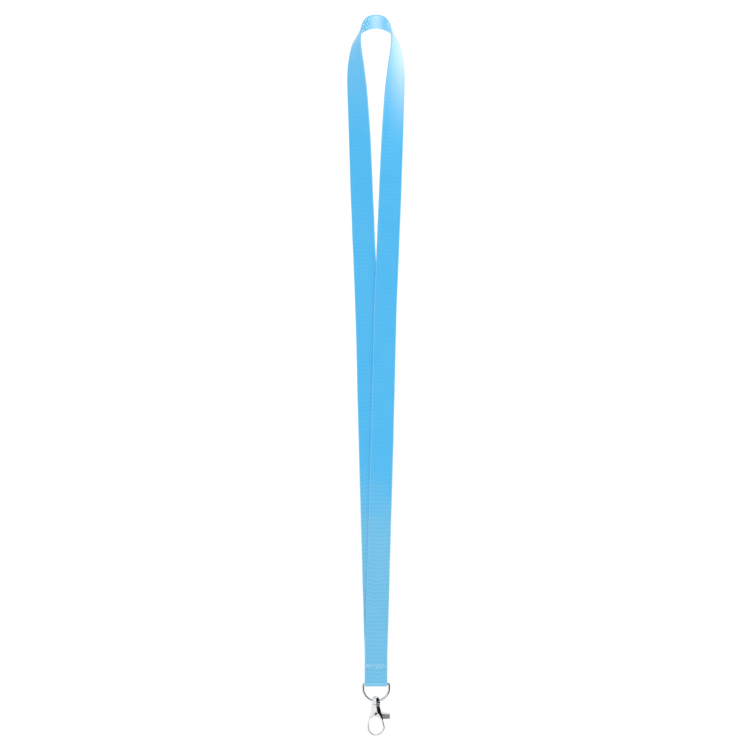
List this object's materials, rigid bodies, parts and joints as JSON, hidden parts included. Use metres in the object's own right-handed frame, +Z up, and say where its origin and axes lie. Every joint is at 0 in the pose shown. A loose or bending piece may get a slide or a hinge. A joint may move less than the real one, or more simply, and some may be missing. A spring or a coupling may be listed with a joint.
{
  "type": "neck lanyard with swivel hook",
  "caption": "Flat ribbed webbing neck loop sewn round a D-ring that carries a swivelling trigger hook for a badge or card holder.",
  "frame": {"origin": "underside of the crown of the neck loop, at the middle of the webbing, where it rests on the neck", "axes": "+Z up along the hanging strap, +X across the webbing to the thumb lever's side, +Y from the front towards the wearer"},
  "size_m": [0.0386, 0.0146, 0.4759],
  "materials": {
    "webbing": "ribbed sky-blue woven polyester",
    "thread": "twisted sewing thread with a slight sheen",
    "plated": "bright nickel plate",
    "spring_wire": "drawn spring wire"
  },
  "bodies": {
    "strap": {"strap_crown": "webbing", "strap_left_run": "webbing", "strap_right_run": "webbing", "strap_ring_fold": "webbing", "needle_thread": "thread", "bobbin_thread": "thread"},
    "ring": {"d_ring": "plated"},
    "eye": {"swivel_eye": "plated"},
    "hook": {"hook_body": "plated", "gate_rivet": "plated", "gate_spring": "spring_wire"},
    "gate": {"gate": "plated"}
  },
  "joints": [
    {"name": "ring_swing", "type": "hinge", "parent": "strap", "child": "ring", "pos_m": [0, 0, -0.4369], "axis": [1, 0, 0], "range_deg": [-80, 80]},
    {"name": "eye_swing", "type": "hinge", "parent": "ring", "child": "eye", "pos_m": [0, 0, -0.44845], "axis": [1, 0, 0], "range_deg": [-80, 80]},
    {"name": "hook_swivel", "type": "hinge", "parent": "eye", "child": "hook", "pos_m": [0, 0, -0.4526], "axis": [0, 0, 1], "continuous": true},
    {"name": "gate_pivot", "type": "hinge", "parent": "hook", "child": "gate", "pos_m": [0, 0, -0.4565], "axis": [0, -1, 0], "range_deg": [0, 28], "stiffness_Nm_per_rad": 0.02, "springref_deg": -34.38, "deforming": ["gate_spring"]}
  ]
}
